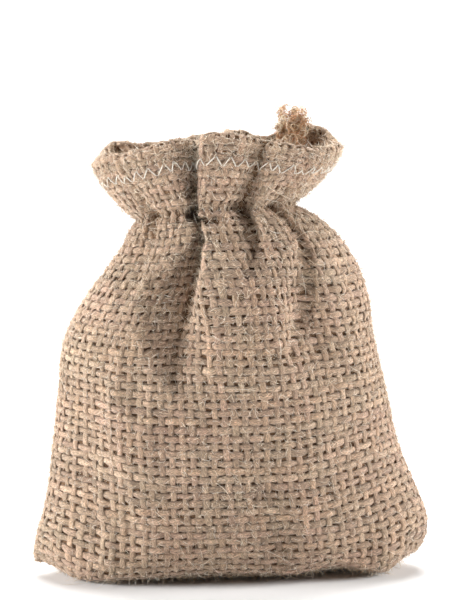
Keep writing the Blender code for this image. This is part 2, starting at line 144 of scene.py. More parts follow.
# round: share of the way round.  breadth: half size round.  up: how much higher the rim stands than
# the warps alone would carry it.  out: how much further out it leans.
Crest = namedtuple("Crest", "round breadth up out")
CRESTS = (
    Crest(0.000, 0.080, -0.8, -0.4),
    Crest(0.110, 0.060, -2.2, 0.8),
    Crest(0.180, 0.060, -1.0, 0.4),
    Crest(0.300, 0.045, -0.8, 0.0),
    Crest(0.375, 0.075, -2.2, 1.2),
    Crest(0.440, 0.050, -2.0, 1.0),
    Crest(0.505, 0.040, -0.8, 0.0),
    Crest(0.572, 0.075, 3.9, 0.7),
    Crest(0.700, 0.050, 1.0, 0.0),
    Crest(0.820, 0.070, -0.8, 0.0),
    Crest(0.925, 0.060, 2.4, 0.6),
)

# ---- places where the bottom stands off the floor ----
# x: where it is, on the front.  breadth: half size along X.  height: rise of the cloth.
# begins: cloth from the bottom seam up to where it begins.
Arch = namedtuple("Arch", "x breadth height begins")
ARCHES = (Arch(25.5, 14.0, 2.5, 3.0), Arch(-3.0, 38.0, 1.8, 8.0))
ARCH_TO = 12.5  # cloth from the bottom seam up to where an arch has its whole height
ARCH_END = 34.0  # and to where it has died out
FRONT_FROM, FRONT_TO = 0.02, 0.48  # places between which the front lies

# ---- what the sack stands on ----
# The bottom lies flat along its seam. Round that it is lifted, but for a few pads.
# x: the middle of a pad.  side: -1 at the front and 1 at the back.
Pad = namedtuple("Pad", "x side")
PADS = (Pad(-27.0, -1), Pad(8.0, -1), Pad(-27.0, 1), Pad(25.0, 1))
PAD_BREADTH = 3.0  # half size along X
LIFT = 0.35  # how far the rest is lifted
LIFT_FROM = 4.0  # cloth from the bottom seam up to where the lift begins
LIFT_TO = 8.0  # and to where it is whole
LIFT_END = 25.0  # and to where it has died out
FLAT_HALF = 22.0  # half length of the seam that lies flat
# ---- rows of the fine surface: distances up the cloth to the neck, and from there ----
ROWS_BELOW = np.linspace(0.0, NECK_AT, 180, endpoint=False)
ROWS_ABOVE = np.linspace(0.0, HEADING, 34)
ROWS = np.concatenate([ROWS_BELOW, NECK_AT + ROWS_ABOVE])

# ---- the cloth ----
MIDDLE = 0.58  # depth of the cloth's middle below the sack's outer face
TURN_RADIUS = 0.52  # of the cloth's middle where it turns over at the rim
GIRTH = 205.0  # of the cloth, once round
WARPS = 80  # yarns that run up the sack
WEFT_PITCH = 2.09
WEFTS = 66  # yarns that run round it, the hem's inner layer included
LEVELLED = 0.55  # share of the climb towards the bottom's corners that the wefts leave out
LEVELLED_TO, LEVELLED_OVER = 92.0, 24.0  # level at which that ends, and the stretch where it fades
WARP_DRIFT, WARP_JITTER = 0.10, 0.05  # unevenness of the warps' places, as shares of their distance
WEFT_DRIFT, WEFT_JITTER = 0.20, 0.10  # and of the wefts', in millimetres
STEPS = 4  # points of a yarn between two crossings
SIDES = 6  # of a yarn's section
FLAT_TOP = 0.65  # exponent below 1 that keeps a yarn up longer where it lies over another
SLUB_LONG, SLUB_SHORT = 0.12, 0.06  # unevenness of a yarn's breadth, along stretches and at each point
SLUB_YARN, SLUB_OVER = 0.13, 0.10  # from yarn to yarn, and where it lies over another
UNEVEN = 0.10  # of a yarn's swing and of its thickness
LEAST_ROOM = 0.6  # between two yarns
ROUGH = 0.07  # unevenness of a yarn's surface, as a share of its size
UV_APART = 37.0  # distance between two yarns in the fibre map

# pieces: the two that all such yarns make.  closed: they run round the sack.  across, through: half
# sizes of a section, across and through the cloth.  swing: how far it swings in and out.
Yarn = namedtuple("Yarn", "pieces closed across through swing")
WARP = Yarn(("warps_front", "warps_back"), False, 0.68, 0.27, 0.15)
WEFT = Yarn(("wefts_lower", "wefts_upper"), True, 0.87, 0.29, 0.22)
STRAW = (
    (205, 182, 158), (186, 160, 136), (191, 161, 142), (170, 152, 129), (196, 165, 136), (160, 139, 119)
)
TONE_SPREAD = 0.38  # how far the straw tones lie apart, as a share of the palette's own spread
TONE_STEPS, SHADE_STEPS = 16, 10  # points of a yarn over which its tone and its shade change
TONE_MIX, SHADE, SHADE_YARN = 0.7, 0.10, 0.03  # how much they do, and shade from yarn to yarn
WARMER = np.array([1.0, 0.97, 0.95])  # share of each colour kept, so that the straw tones stay warm
CROWDED = 0.47  # a yarn's largest half size across, as a share of the room beside its neighbours
SPREAD = 0.28  # and its smallest, where the weave is pulled open
BACKING = 0.22  # depth below the cloth's middle of the backing sheet, coloured dark as painted shade between the yarns
BACKING_THICK = 0.25
HEM_FROM = 108.0  # level above which the cloth is gathered and then double
HEM_OVER = 6.0  # cloth over which that begins
HEM_FILLS = 0.9  # share of the backing's depth that the gathers and the second layer take up
BACKING_COLUMNS = 128
BACKING_FINE = 10.0  # stretch with closer rows, where it turns over the rim and down

# ---- the hem's zigzag ----
STITCHES = 53  # periods once round
STITCH_DOWN = 6.6  # below the rim
ZIGZAG = 1.35  # half its height
STITCH_STEPS = 7
STITCH_RISE = 0.74  # of the thread over the cloth's middle
STITCH_DIVE = 0.30  # and how deep it dives at a corner
DIVES_OVER = 0.10  # share of a stitch over which it does
ASTRAY, ASTRAY_UP = 0.22, 0.2  # unevenness of its corners: along, as a share of a stitch, and up
THREAD = 0.14  # radius
THREAD_COLOUR = (224, 217, 206)

# ---- loose fibres ----
HAIR_TONES = ((248, 238, 222), (236, 220, 196), (218, 196, 168), (244, 230, 208), (204, 176, 146))
HAIR_SIDES = 3
HAIR_ROOT, HAIR_ROOT_MORE = 0.30, 0.35  # height of its root over the cloth's middle, and its spread
HAIR_STAND = 0.12  # the least that it stands off
HAIR_RESTLESS = 0.45  # how fast its curl turns
HAIR_TAPER = 0.6
ASKEW = (0.31, 0.87, 0.38)  # a direction that few strands follow
# longest: of a fibre.  low, high: levels between which they grow.  stand: how far they stand off.
Fuzz = namedtuple("Fuzz", "name count steps longest low high radius stand curl")
FUZZ = (
    Fuzz("fuzz_low", 13300, 3, 2.9, 2.0, 64.0, 0.045, 1.8, 0.45),
    Fuzz("fuzz_high", 17000, 3, 2.9, 64.0, 129.0, 0.045, 1.8, 0.45),
    Fuzz("fuzz_rim", 2100, 4, 2.7, 122.0, 131.0, 0.045, 1.4, 0.4),
    Fuzz("stray_hairs", 320, 8, 9.0, 6.0, 129.0, 0.05, 1.6, 0.22),
)

# ---- the frayed end of the seam ----
TUFT_FROM, TUFT_TO = 0.565, 0.598  # stations between which it stands
TUFT_ROOT = 2.0  # above the hem's lower edge
TUFT_TALL = 10.5  # the tallest yarn end
FIBRE_SHORT, FIBRE_MORE = 1.0, 2.2  # length of the shortest fibre, and how much longer the longest is
TUFT_LEAN = 0.05  # to the right as it rises
TUFT_FAN = 0.1  # how far its ends lean together
TUFT_IN, TUFT_DEEP = 0.8, 1.8  # distance of its roots from the hem's middle, and their spread
TUFT_STEPS = 11
TUFT_YARNS = 16
TUFT_FIBRES = 600
# lean: how far a strand leans from upright.  wide: radius of its curl.  turns: of its curl.
Curl = namedtuple("Curl", "lean wide turns radius")
TUFT_YARN = Curl(0.12, 0.6, 2.8, 0.27)
TUFT_FIBRE = Curl(0.7, 0.75, 1.8, 0.085)
TUFT_TONES = ((214, 180, 142), (194, 155, 117), (228, 204, 172), (198, 144, 108), (238, 222, 200))

# ---- small creases in the cloth ----
# round, cloth: the middle.  turn: angle from level in degrees, up to the right as seen from outside.
# length, width: half sizes.  depth: how far in, or out where negative.
Crease = namedtuple("Crease", "round cloth turn length width depth")
CREASES = (
    Crease(0.252, 105.9, 0, 13, 1.4, 2.3),
    Crease(0.156, 107.2, -3, 14, 2.0, 2.8),
    Crease(0.150, 111.0, -3, 14, 3.0, -0.9),
    Crease(0.150, 103.0, 4, 14, 3.4, -0.6),
    Crease(0.145, 98.5, 75, 12, 3.0, -1.1),
    Crease(0.112, 64.0, 84, 22, 3.2, -0.9),
    Crease(0.140, 62.0, 85, 24, 3.4, 0.7),
    Crease(0.096, 27.0, 97, 19, 3.2, -0.8),
    Crease(0.124, 30.0, 97, 19, 3.4, 0.6),
    Crease(0.262, 101.0, 3, 11, 1.8, 0.7),
    Crease(0.300, 22.0, 80, 16, 4.0, 0.7),
    Crease(0.400, 98.0, 30, 9, 2.0, 0.6),
    Crease(0.455, 92.0, 50, 10, 2.4, 0.6),
    Crease(0.080, 20.0, 60, 14, 3.0, 0.6),
    Crease(0.030, 14.0, 35, 9, 2.4, 0.6),
    Crease(0.460, 14.0, -40, 9, 2.4, 0.6),
    Crease(0.560, 96.0, -40, 10, 2.2, 0.7),
    Crease(0.640, 100.0, 10, 9, 2.0, 0.8),
    Crease(0.750, 98.0, -12, 10, 2.4, 0.8),
    Crease(0.850, 96.0, 25, 10, 2.2, 0.7),
    Crease(0.960, 94.0, -20, 9, 2.2, 0.6),
    Crease(0.600, 30.0, 70, 14, 3.6, 0.6),
    Crease(0.900, 26.0, -65, 14, 3.6, 0.7),
)


def eased(x):
    """0 below 0, 1 above 1 and a smooth step between."""
    x = np.clip(x, 0.0, 1.0)
    return x * x * (3.0 - 2.0 * x)


def bump(x):
    """1 at 0, falling smoothly to 0 at -1 and 1."""
    return np.cos(0.5 * math.pi * np.clip(x, -1.0, 1.0)) ** 2


def round_from(place, share):
    """The shorter way round the sack from a place to others, as a share of the whole."""
    return (share - place + 0.5) % 1.0 - 0.5


def length_along(x, y):
    """Length along a line of points, at each of them."""
    return np.concatenate([[0.0], np.cumsum(np.hypot(np.diff(x), np.diff(y)))])


def unit(vectors):
    return vectors / np.maximum(np.linalg.norm(vectors, axis=-1, keepdims=True), 1e-9)


def normals(grid):
    """Outward normals of a grid whose rows run round the sack."""
    across = np.roll(grid, -1, axis=1) - np.roll(grid, 1, axis=1)
    return unit(np.cross(across, np.gradient(grid, axis=0)))


def row_at(grid, levels, at):
    """One row of a grid, read at any level."""
    row = np.interp(at, levels, np.arange(len(levels)))
    k = min(int(row), len(levels) - 2)
    return grid[k] + (grid[k + 1] - grid[k]) * (row - k)


def section_at(cloth):
    """The section at a distance up the cloth, on smooth curves through the table's rows."""
    table = np.array(SECTIONS, float)
    at = table[:, 0]
    k = int(np.clip(np.searchsorted(at, cloth, side="right") - 1, 0, len(at) - 2))
    slopes = np.gradient(table, at, axis=0)
    gap = at[k + 1] - at[k]
    t = (cloth - at[k]) / gap
    start = (1.0 + 2.0 * t) * (1.0 - t) ** 2
    end = t * t * (3.0 - 2.0 * t)
    leave = t * (1.0 - t) ** 2 * gap
    arrive = -t * t * (1.0 - t) * gap
    row = start * table[k] + end * table[k + 1] + leave * slopes[k] + arrive * slopes[k + 1]
    row = Section(*row)
    return row._replace(mid_z=max(row.mid_z, 0.0), half_depth=max(row.half_depth, 0.0))


# A fold at one level. warp: its valley on the cloth.  place: on the outline.  hold: how far the cloth
# keeps to it, from 0 to 1.  left, right: slopes of its walls in radians.
Pleat = namedtuple("Pleat", "warp place hold depth pinch left right")


def wall(away, depth, slope):
    """Depth of a fold at a distance from its valley: a round valley, a straight wall, a round shoulder."""
    full = (SHOULDER + VALLEY) * (1.0 - math.cos(slope))
    straight = max(depth - full, 0.0) / math.sin(slope)
    if depth < full:
        slope = math.acos(1.0 - depth / (SHOULDER + VALLEY))
    low = VALLEY * math.sin(slope)
    high = low + straight * math.cos(slope)
    edge = high + SHOULDER * math.sin(slope)
    away = np.abs(away)
    valley = depth - VALLEY + np.sqrt(np.maximum(VALLEY**2 - away**2, 0.0))
    middle = depth - VALLEY * (1.0 - math.cos(slope)) - (away - low) * math.tan(slope)
    shoulder = SHOULDER - np.sqrt(np.maximum(SHOULDER**2 - np.maximum(edge - away, 0.0) ** 2, 0.0))
    return np.where(away < low, valley, np.where(away < high, middle, shoulder))


def outline(section, pleats):
    """Points of cloth round the sack at one level, evenly spaced between its folds' valleys."""
    t = np.linspace(math.pi, 3.0 * math.pi, RING_POINTS + 1)
    c, s = np.cos(t), np.sin(t)
    x = section.half_width * np.sign(c) * np.abs(c) ** (2.0 / section.round_x)
    y = section.half_depth * np.sign(s) * np.abs(s) ** (2.0 / section.round_y)
    run = length_along(x, y)
    girth = run[-1]
    dx, dy = np.gradient(x), np.gradient(y)
    size = np.maximum(np.hypot(dx, dy), 1e-9)
    depth = np.zeros_like(run)
    slide = np.zeros_like(run)
    for pleat in pleats:
        away = round_from(pleat.place, run / girth) * girth
        left, right = wall(away, pleat.depth, pleat.left), wall(away, pleat.depth, pleat.right)
        depth += np.where(away < 0.0, left, right)
        lip = away / LIP
        slide -= pleat.pinch * lip * np.exp(0.5 - 0.5 * lip**2)
    x = x + (dx * slide - dy * depth) / size + section.mid_x
    y = y + (dy * slide + dx * depth) / size + section.mid_y
    share = run / girth
    run = length_along(x, y)
    ends, warps = (0.0, run[RING_POINTS // 2], run[-1]), (0.0, 0.5, 1.0)
    marks = list(zip(ends, warps))
    for pleat in pleats:
        at = np.interp(pleat.place, share, run)
        free = np.interp(at, ends, warps)
        marks.append((at, free + (pleat.warp - free) * pleat.hold))
    marks = np.array(sorted(marks))
    columns = np.interp(STATIONS, marks[:, 1], marks[:, 0])
    return np.stack([np.interp(columns, run, x), np.interp(columns, run, y)], axis=1)


def below_neck(cloth):
    """One ring of the sack between the bottom seam and the neck."""
    section = section_at(cloth)
    pleats = []
    for fold in FOLDS:
        down = min((NECK_AT - cloth) / fold.reach, 1.0)
        hold = 1.0 - eased(down)
        place = fold.end + (fold.neck - fold.end) * (1.0 - down)
        left = fold.left + (fold.end_left - fold.left) * eased(down / OPENS_OVER)
        right = fold.right + (fold.end_right - fold.right) * eased((down - RIGHT_OPENS) / OPENS_OVER)
        left, right = math.radians(left), math.radians(right)
        depth = fold.neck_depth * (1.0 - down**FALL)
        pleats.append(Pleat(fold.warp, place, hold, depth, fold.pinch * hold, left, right))
    xy = outline(section, pleats)
    across = (xy[:, 0] - section.mid_x) / section.half_width
    aside = eased((np.abs(across) - section.level) / (1.0 - section.level))
    z = section.mid_z + (section.side_z - section.mid_z) * aside + section.tilt * across * aside
    stoop = STOOP * eased((cloth - STOOP_FROM) / (NECK_AT - STOOP_FROM))
    z -= stoop * (xy[:, 1] - section.mid_y) / max(section.half_depth, 1.0)
    return np.column_stack([xy, z])


def heading(neck):
    """The rings above the neck. All warps are as long there, so one that leans out ends lower."""
    pleats = []
    for fold in FOLDS:
        left, right = math.radians(RIM_LEFT * fold.left), math.radians(fold.right)
        pleats.append(Pleat(fold.warp, fold.rim, 1.0, fold.rim_depth, fold.pinch, left, right))
    lean = outline(RIM, pleats) - neck[:, :2]
    steps = np.linspace(0.0, 1.0, 40)
    shares = 1.0 - (1.0 - steps) ** FLARE
    piece = HEADING / (len(steps) - 1)
    ahead = np.outer(np.diff(shares), np.linalg.norm(lean, axis=1))
    climbs = np.sqrt(np.maximum(piece**2 - ahead**2, (LEAST_CLIMB * piece) ** 2))
    heights = np.concatenate([np.zeros((1, COLUMNS)), np.cumsum(climbs, axis=0)])
    rings = []
    for at in ROWS_ABOVE / HEADING:
        xy = neck[:, :2] + lean * (1.0 - (1.0 - at) ** FLARE)
        rings.append(np.column_stack([xy, neck[:, 2] + row_at(heights, steps, at)]))
    return rings


def sack_grid():
    """Points of the outer face: a row for each ring from the bottom seam to the rim."""
    rings = [below_neck(cloth) for cloth in ROWS_BELOW]
    rings += heading(below_neck(NECK_AT))
    grid = np.array(rings)
    push = np.zeros(grid.shape[:2])
    for dent in DENTS:
        away = round_from(dent.round, STATIONS)
        share = np.outer(bump((ROWS - dent.cloth) / dent.height), bump(away / dent.breadth))
        push += dent.depth * share
    push += TUCK * bump((ROWS - NECK_AT) / TUCK_REACH)[:, None]
    above = np.clip((ROWS - NECK_AT) / HEADING, 0.0, 1.0) ** CREST_LATE
    for crest in CRESTS:
        away = round_from(crest.round, STATIONS)
        share = np.outer(above, bump(away / crest.breadth))
        grid[:, :, 2] += crest.up * share
        push -= crest.out * share
    across = np.roll(grid, -1, axis=1) - np.roll(grid, 1, axis=1)
    inward = unit(np.stack([-across[:, :, 1], across[:, :, 0]], axis=2))
    standing = eased(grid[:, :, 2] / STANDING)
    front = (STATIONS > FRONT_FROM) & (STATIONS < FRONT_TO)
    for arch in ARCHES:
        swell = eased((ROWS - arch.begins) / (ARCH_TO - arch.begins))
        swell *= eased((ARCH_END - ROWS) / (ARCH_END - ARCH_TO))
        share = swell[:, None] * bump((grid[:, :, 0] - arch.x) / arch.breadth)
        grid[:, :, 2] += arch.height * share * front
    lifted = np.maximum(
        eased((ROWS[:, None] - LIFT_FROM) / (LIFT_TO - LIFT_FROM)),
        eased((np.abs(grid[:, :, 0]) - FLAT_HALF) / PAD_BREADTH),
    )
    lifted *= eased((LIFT_END - ROWS) / (LIFT_END - LIFT_TO))[:, None]
    beside = ((ROWS > LIFT_FROM) & (ROWS <= LIFT_TO))[:, None]
    for pad in PADS:
        on_side = beside & (grid[:, :, 1] * pad.side > 0.0)
        lifted[on_side & (np.abs(grid[:, :, 0] - pad.x) < PAD_BREADTH)] = 0.0
    grid[:, :, 2] += LIFT * lifted
    grid[:, :, :2] += inward * (push * standing)[:, :, None]
    low, high = grid.min(axis=(0, 1)), grid.max(axis=(0, 1))
    grid[:, :, :2] -= 0.5 * (low + high)[:2]
    return grid


class Cloth:
    """The middle of the cloth and its outward normal, over stations round and distances along it.

    Distances run up the outside from the bottom seam, over the rim and down the hem's inner layer.
    """

    def __init__(self):
        outer = sack_grid()
        push = np.zeros(outer.shape[:2])
        for crease in CREASES:
            turn = math.radians(crease.turn)
            s = round_from(crease.round, STATIONS)[None, :] * GIRTH
            w = ROWS[:, None] - crease.cloth
            along = s * math.cos(turn) + w * math.sin(turn)
            across = w * math.cos(turn) - s * math.sin(turn)
            push += crease.depth * bump(along / crease.length) * bump(across / crease.width)
        normal = normals(outer)
        standing = eased((outer[:, :, 2] - 1.0) / STANDING)
        outer = outer - normal * (push * standing)[:, :, None]
        normal = normals(outer)
        layer = outer - normal * MIDDLE
        turn_at = NECK_AT + HEADING - TURN_RADIUS
        keep = ROWS < turn_at - 0.05
        rows, at = [layer[keep]], [ROWS[keep]]
        edge = row_at(layer, ROWS, turn_at)
        out = unit(row_at(normal, ROWS, turn_at))
        up = unit(edge - row_at(layer, ROWS, turn_at - 1.0))
        middle = edge - out * TURN_RADIUS
        for turn in np.linspace(0.0, math.pi, 7):
            rows.append((middle + TURN_RADIUS * (math.cos(turn) * out + math.sin(turn) * up))[None])
            at.append([turn_at + TURN_RADIUS * turn])
        turned = turn_at + TURN_RADIUS * math.pi
        inside = layer - normal * 2.0 * TURN_RADIUS
        for down in np.linspace(0.6, HEM, 14):
            rows.append(row_at(inside, ROWS, turn_at - down)[None])
            at.append([turned + down])
        self.points = np.concatenate(rows)
        self.levels = np.concatenate(at)
        self.facing = normals(self.points)
        self.end = self.levels[-1]

    def sample(self, field, station, level):
        """Values of a field over the grid, at any stations (wrapping round) and levels."""
        row = np.interp(level, self.levels, np.arange(len(self.levels)))
        column = np.mod(station, 1.0) * COLUMNS
        r = np.minimum(row.astype(int), len(self.levels) - 2)
        c = column.astype(int) % COLUMNS
        d = (c + 1) % COLUMNS
        tr, tc = (row - r)[..., None], (column - np.floor(column))[..., None]
        low = field[r, c] * (1.0 - tc) + field[r, d] * tc
        high = field[r + 1, c] * (1.0 - tc) + field[r + 1, d] * tc
        return low * (1.0 - tr) + high * tr

    def at(self, station, level):
        return self.sample(self.points, station, level)

    def normal(self, station, level):
        return unit(self.sample(self.facing, station, level))


def linear(colour):
    """A colour of the screen, 0 to 255, as light."""
    c = np.asarray(colour, float) / 255.0
    return np.where(c <= 0.04045, c / 12.92, ((c + 0.055) / 1.055) ** 2.4)


def wander(random, yarns, steps, every, closed=False):
    """A smooth random line about 0 and about 1 high for each yarn, turning every so many steps."""
    knots = max(int(round(steps / every)), 3)
    values = random.normal(size=(yarns, knots))
    last = values[:, :1] if closed else random.normal(size=(yarns, 1))
    values = np.concatenate([values, last], axis=1)
    at = np.linspace(0.0, knots, steps, endpoint=not closed)
    k = np.minimum(at.astype(int), knots - 1)
    t = eased(at - k)
    return values[:, k] * (1.0 - t) + values[:, k + 1] * t


def crossings(cloth, random):
    """Station and level at which each warp crosses each weft, with the weave's unevenness."""
    i, j = np.meshgrid(np.arange(WARPS), np.arange(WEFTS), indexing="ij")
    station = (i + 0.5) / WARPS
    station = station + wander(random, WARPS, WEFTS, 9) * WARP_DRIFT / WARPS
    station += random.normal(size=station.shape) * WARP_JITTER / WARPS
    level = (j + 0.5) * WEFT_PITCH
    level = level + wander(random, WEFTS, WARPS, 8, closed=True).T * WEFT_DRIFT
    level += random.normal(size=level.shape) * WEFT_JITTER
    # the wefts climb less towards the corners than the cloth itself does
    front, back = (cloth.at(np.full(level.shape, share), level) for share in (0.25, 0.75))
    climb = cloth.at(station, level)[..., 2] - 0.5 * (front + back)[..., 2]
    level = level - LEVELLED * climb * eased((LEVELLED_TO - level) / LEVELLED_OVER)
    return station, level


def along_yarn(values, at, closed):
    """Values at the crossings, read between them along the last axis."""
    count = values.shape[-1]
    k = np.floor(at).astype(int)
    t = at - k
    if closed:
        return values[..., k % count] * (1.0 - t) + values[..., (k + 1) % count] * t
    k = np.clip(k, 0, count - 2)
    t = np.clip(at - k, -0.5, 1.5)
    return values[..., k] * (1.0 - t) + values[..., k + 1] * t


def corners_of(sides):
    """Cosines and sines of the corners of a tube's section."""
    turn = np.arange(sides) * 2.0 * math.pi / sides
    return np.cos(turn)[:, None], np.sin(turn)[:, None]


def yarn_mesh(name, centre, side, out, across, through, colour, closed, sides=SIDES, rough=0.0):
    """Tubes of oval section along many paths of the same number of points."""
    yarns, steps = centre.shape[:2]
    c, s = corners_of(sides)
    spoke = side[:, :, None] * (across[:, :, None, None] * c)
    spoke = spoke + out[:, :, None] * (through[:, :, None, None] * s)
    points = centre[:, :, None] + spoke * (1.0 + np.asarray(rough)[..., None])
    rings = steps if closed else steps - 1
    y, m, k = np.meshgrid(np.arange(yarns), np.arange(rings), np.arange(sides), indexing="ij")
    nm, nk = (m + 1) % steps, (k + 1) % sides

    def index(ring, corner):
        return (y * steps + ring) * sides + corner

    faces = np.stack([index(m, k), index(m, nk), index(nm, nk), index(nm, k)], axis=-1)
    faces = faces.reshape(-1, 4).tolist()
    about = np.stack([k, k + 1, k + 1, k], axis=-1) / sides
    piece = np.linalg.norm(np.roll(centre, -1, axis=1) - centre, axis=2)
    run = np.concatenate([np.zeros((yarns, 1)), np.cumsum(piece, axis=1)], axis=1)
    run += UV_APART * np.arange(yarns)[:, None]
    reach = np.stack([run[y, m], run[y, m], run[y, m + 1], run[y, m + 1]], axis=-1)
    places = np.stack([about, reach], axis=-1).reshape(-1, 2)
    if not closed:
        for first in range(0, yarns * steps * sides, steps * sides):
            faces.append([first + i for i in reversed(range(sides))])
            faces.append([first + (steps - 1) * sides + i for i in range(sides)])
        places = np.concatenate([places, np.zeros((2 * yarns * sides, 2))])
    made = tinted(name, points, faces, np.repeat(colour[:, :, None], sides, axis=2))
    layer = made.data.uv_layers.new(name="fibre")
    layer.data.foreach_set("uv", places.astype(np.float32).ravel())
    return made


def tinted(name, points, faces, colour):
    """A smooth mesh with a colour at each of its points."""
    mesh = bpy.data.meshes.new(name)
    mesh.from_pydata((points * MM).reshape(-1, 3), [], faces)
    tint = mesh.color_attributes.new("yarn", "FLOAT_COLOR", "POINT")
    shade = np.concatenate([colour, np.ones(colour.shape[:-1] + (1,))], axis=-1)
    tint.data.foreach_set("color", shade.astype(np.float32).ravel())
    mesh.shade_smooth()
    return placed(name, mesh)


def placed(name, data):
    """A new object in the scene."""
    made = bpy.data.objects.new(name, data)
    bpy.context.scene.collection.objects.link(made)
    return made


def yarn_frame(centre, facing, closed):
    """Unit directions across a yarn and out of the cloth, square to its path."""
    if closed:
        ahead = np.roll(centre, -1, axis=1) - np.roll(centre, 1, axis=1)
    else:
        ahead = np.gradient(centre, axis=1)
    side = unit(np.cross(facing, ahead))
    return side, unit(np.cross(ahead, side))


def yarn_colours(random, yarns, steps, closed):
    """A base colour for each point of each yarn: one of the straw tones, drifting along the yarn."""
    tones = linear(STRAW)
    tones = (tones.mean(axis=0) + TONE_SPREAD * (tones - tones.mean(axis=0))) * WARMER
    pick = tones[random.integers(0, len(tones), yarns)]
    other = tones[random.integers(0, len(tones), yarns)]
    mix = eased(0.5 + TONE_MIX * wander(random, yarns, steps, TONE_STEPS, closed))[:, :, None]
    shade = 1.0 + SHADE * wander(random, yarns, steps, SHADE_STEPS, closed)
    shade = shade + SHADE_YARN * random.normal(size=(yarns, 1))
    colour = (pick[:, None] * (1.0 - mix) + other[:, None] * mix) * shade[:, :, None]
    return np.clip(colour, 0.0, 1.0)


def weave(cloth, random):
    """The woven yarns: warps as open lines over the rim, wefts as rings."""
    station, level = crossings(cloth, random)
    at = np.linspace(-0.5, WEFTS - 0.5, WEFTS * STEPS + 1)
    u = along_yarn(station, at, False)
    v = np.clip(along_yarn(level, at, False), 0.0, cloth.end)
    parity = np.cos(math.pi * (at[None, :] + np.arange(WARPS)[:, None]))
    pieces = yarns_of(cloth, random, WARP, u, v, parity)
    at = np.arange(WARPS * STEPS) / STEPS
    u = np.repeat((at[None, :] + 0.5) / WARPS, WEFTS, axis=0)
    v = np.clip(along_yarn(level.T, at, True), 0.3, cloth.end - 0.3)
    parity = -np.cos(math.pi * (at[None, :] + np.arange(WEFTS)[:, None]))
    return pieces + yarns_of(cloth, random, WEFT, u, v, parity)


def yarns_of(cloth, random, yarn, u, v, parity):
    """All yarns of one direction, over and under those of the other, in two pieces."""
    yarns, steps = u.shape

    def uneven(crossed):
        """A random line for each yarn, turning every so many crossings."""
        return wander(random, yarns, steps, crossed * STEPS, yarn.closed)

    over = np.sign(parity) * np.abs(parity) ** FLAT_TOP
    facing = cloth.normal(u, v)
    swing = yarn.swing * (1.0 + UNEVEN * uneven(2))
    centre = cloth.at(u, v) + facing * (swing * over)[:, :, None]
    side, out = yarn_frame(centre, facing, yarn.closed)
    slub = 1.0 + SLUB_LONG * uneven(3) + SLUB_SHORT * random.normal(size=u.shape)
    slub = slub + SLUB_YARN * random.normal(size=(yarns, 1)) + SLUB_OVER * over
    room = room_beside(cloth, yarn, u, v)
    across = np.clip(yarn.across * slub, SPREAD * room, CROWDED * room)
    through = yarn.through * (1.0 + UNEVEN * uneven(3))
    colour = yarn_colours(random, yarns, steps, yarn.closed)
    half = yarns // 2
    pieces = []
    for name, pick in zip(yarn.pieces, (slice(0, half), slice(half, yarns))):
        rough = ROUGH * random.normal(size=(half, steps, SIDES))
        tubes = [values[pick] for values in (centre, side, out, across, through, colour)]
        pieces.append(yarn_mesh(name, *tubes, yarn.closed, rough=rough))
    return pieces


def room_beside(cloth, yarn, u, v):
    """Distance from each yarn to its neighbour, across the cloth."""
    du, dv = (0.0, WEFT_PITCH) if yarn.closed else (1.0 / WARPS, 0.0)
    ahead, behind = (cloth.at(u + h * du, np.clip(v + h * dv, 0.0, cloth.end)) for h in (0.5, -0.5))
    return np.maximum(np.linalg.norm(ahead - behind, axis=2), LEAST_ROOM)


def stitches(cloth, name, level, random):
    """A zigzag of thread round the cloth: it lies on the yarns and dives in at each corner."""
    corners = 2 * STITCHES
    at = (np.arange(corners) + ASTRAY * random.normal(size=corners)) / corners
    up = level + ZIGZAG * np.where(np.arange(corners) % 2 == 0, 1.0, -1.0)
    up = up + ASTRAY_UP * random.normal(size=corners)
    share = np.arange(STITCH_STEPS) / STITCH_STEPS
    ahead = np.concatenate([at[1:], [at[0] + 1.0]])
    u = (at[:, None] + (ahead - at)[:, None] * share).reshape(1, -1)
    v = (up[:, None] + (np.roll(up, -1) - up)[:, None] * share).reshape(1, -1)
    ends = np.minimum(share, 1.0 - share)
    rise = STITCH_RISE - (STITCH_RISE + STITCH_DIVE) * np.exp(-((ends / DIVES_OVER) ** 2))
    rise = np.tile(rise, corners)[None, :]
    facing = cloth.normal(u, v)
    centre = cloth.at(u, v) + facing * rise[..., None]
    side, out = yarn_frame(centre, facing, True)
    thick = THREAD * (1.0 + 0.08 * random.normal(size=u.shape))
    colour = linear(THREAD_COLOUR) * (1.0 + 0.05 * random.normal(size=u.shape))[..., None]
    return yarn_mesh(name, centre, side, out, thick, thick, np.clip(colour, 0.0, 1.0), True, sides=6)


def hairs(cloth, random, fuzz):
    """Fine fibres that stand off the yarns' outer faces, each curling its own way."""
    count = fuzz.count
    u = random.random(count)
    v = fuzz.low + (fuzz.high - fuzz.low) * random.random(count)
    facing = cloth.normal(u, v)
    root = cloth.at(u, v) + facing * (HAIR_ROOT + HAIR_ROOT_MORE * random.random(count))[:, None]
    loose = random.normal(size=(count, 3))
    loose -= facing * np.sum(loose * facing, axis=1)[:, None]
    rise = HAIR_STAND + fuzz.stand * random.random(count) ** 2
    course = unit(unit(loose) + facing * rise[:, None])
    length = fuzz.longest * (0.3 + 0.7 * random.random(count) ** 2)
    curl = fuzz.curl * (0.4 + random.random(count))
    radius = fuzz.radius * (0.7 + 0.6 * random.random(count))
    tones = linear(HAIR_TONES)[random.integers(0, len(HAIR_TONES), count)]
    piece = (length / (fuzz.steps - 1))[:, None]
    turning = unit(random.normal(size=(count, 3)))
    path = [root]
    while len(path) < fuzz.steps:
        turning = unit(turning + HAIR_RESTLESS * random.normal(size=(count, 3)))
        course = unit(course + curl[:, None] * turning)
        path.append(path[-1] + course * piece)
    centre = np.stack(path, axis=1)
    centre[:, :, 2] = np.maximum(centre[:, :, 2], radius[:, None])
    return hair_mesh(fuzz.name, centre, radius, tones)


